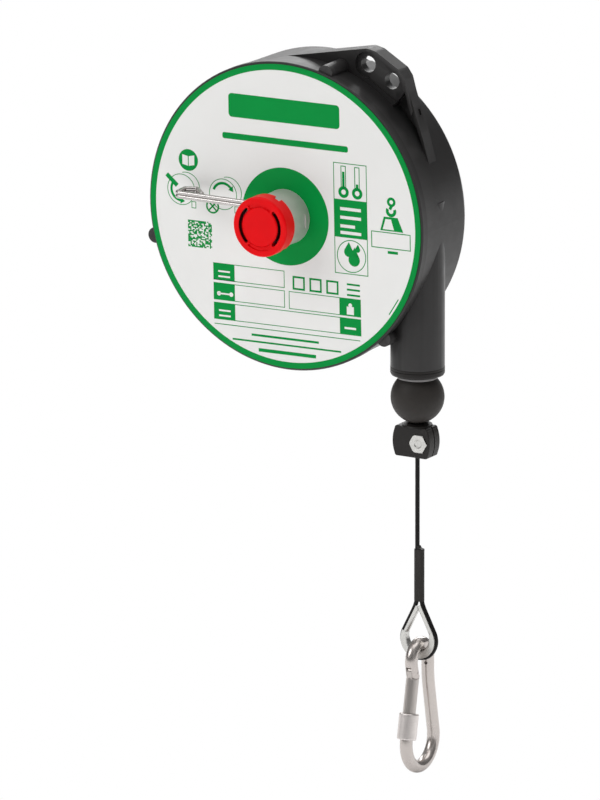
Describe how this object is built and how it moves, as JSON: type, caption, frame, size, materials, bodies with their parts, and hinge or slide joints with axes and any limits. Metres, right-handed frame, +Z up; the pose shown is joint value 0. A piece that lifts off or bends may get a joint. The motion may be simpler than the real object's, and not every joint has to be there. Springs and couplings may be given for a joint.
{
  "type": "tool balancer",
  "caption": "Spring tool balancer: round drum housing with suspension lug, load adjuster and lever, rope with rubber buffer, clamp, thimble and screw-sleeve carabiner.",
  "frame": {"origin": "centre of the main suspension hole in the lug, half way through the web", "axes": "+Y along the suspension hole and the drum axis, from the dial towards the back of the housing; +X towards the rope outlet side; +Z up, opposite to the hanging rope"},
  "size_m": [0.1805, 0.0828, 0.4191],
  "materials": {
    "housing_paint": "semi-gloss charcoal powder coat",
    "dial_print": "white printed aluminium plate with green panels",
    "black_rubber": "matt black",
    "black_plastic": "matt black",
    "red_plastic": "satin red",
    "pale_plastic": "light grey low-friction plastic",
    "cast_silver": "satin die casting",
    "drum_alloy": "machined",
    "steel_bright": "bright",
    "steel_zinc": "bright zinc",
    "stainless": "polished stainless",
    "spring_steel": "blued",
    "bronze": "sintered bronze",
    "rope_black": "black coated wire rope"
  },
  "bodies": {
    "housing": {"housing": "housing_paint", "front_cover": "housing_paint", "label_plate": "dial_print", "cover_seal": "black_rubber", "cover_screws": "steel_zinc", "adjuster_boss": "cast_silver", "boss_nut": "steel_zinc", "front_bush": "bronze", "rear_bush": "bronze", "lever_pin": "steel_bright", "outlet_cap": "black_plastic", "guide_bush": "pale_plastic"},
    "arbor": {"arbor_shaft": "steel_bright", "spring_hub": "steel_bright", "arbor_circlip": "spring_steel", "adjuster_knob": "red_plastic", "knob_cap": "red_plastic", "knob_screw": "steel_zinc"},
    "drum": {"rope_drum": "drum_alloy", "rope_anchor": "steel_bright", "rope_on_drum": "rope_black", "drum_bushes": "bronze", "spring_cover": "drum_alloy", "drum_screws": "steel_zinc", "spiral_spring": "spring_steel"},
    "rope": {"rope_upper": "rope_black", "rope_lower": "rope_black", "rubber_buffer": "black_rubber", "buffer_collar": "black_plastic", "clamp_front": "black_plastic", "clamp_rear": "black_plastic", "clamp_screw": "steel_zinc", "clamp_nut": "steel_zinc", "rope_ferrule": "drum_alloy", "shrink_sleeve": "black_plastic", "thimble": "steel_zinc"},
    "carabiner": {"carabiner_frame": "stainless", "gate_pin": "stainless", "gate_spring": "spring_steel"},
    "gate": {"gate": "stainless"},
    "lock_sleeve": {"screw_sleeve": "stainless"},
    "lever": {"wire_lever": "stainless"}
  },
  "joints": [
    {"name": "rope_pull", "type": "slide", "parent": "housing", "child": "rope", "axis": [0, 0, -1], "range_m": [0, 2], "stiffness_N_per_m": 2, "springref_m": -6, "deforming": ["rope_upper"]},
    {"name": "drum_spin", "type": "hinge", "parent": "housing", "child": "drum", "pos_m": [-0.0567, 0, -0.0812], "axis": [0, 1, 0], "range_deg": [0, 1600]},
    {"name": "load_adjust", "type": "hinge", "parent": "housing", "child": "arbor", "pos_m": [-0.0567, 0, -0.0812], "axis": [0, 1, 0], "range_deg": [-240, 1560]},
    {"name": "lever_press", "type": "hinge", "parent": "housing", "child": "lever", "pos_m": [-0.0617, -0.0422, -0.07155], "axis": [0, 0, -1], "range_deg": [0, 3.5], "stiffness_Nm_per_rad": 0.03, "springref_deg": -17.19},
    {"name": "carabiner_swing", "type": "hinge", "parent": "rope", "child": "carabiner", "pos_m": [0.0175, -0.001, -0.326], "axis": [0, 1, 0], "range_deg": [-75, 75]},
    {"name": "gate_open", "type": "hinge", "parent": "carabiner", "child": "gate", "pos_m": [0.0175, -0.0098, -0.34064], "axis": [1, 0, 0], "range_deg": [0, 25], "stiffness_Nm_per_rad": 0.05, "springref_deg": -34.38},
    {"name": "sleeve_travel", "type": "slide", "parent": "gate", "child": "lock_sleeve", "axis": [0, 0.1969, 0.9804], "range_m": [0, 0.011]}
  ],
  "couplings": [
    {"joint": "drum_spin", "follows": "rope_pull", "rad_per_m": 13.245}
  ]
}
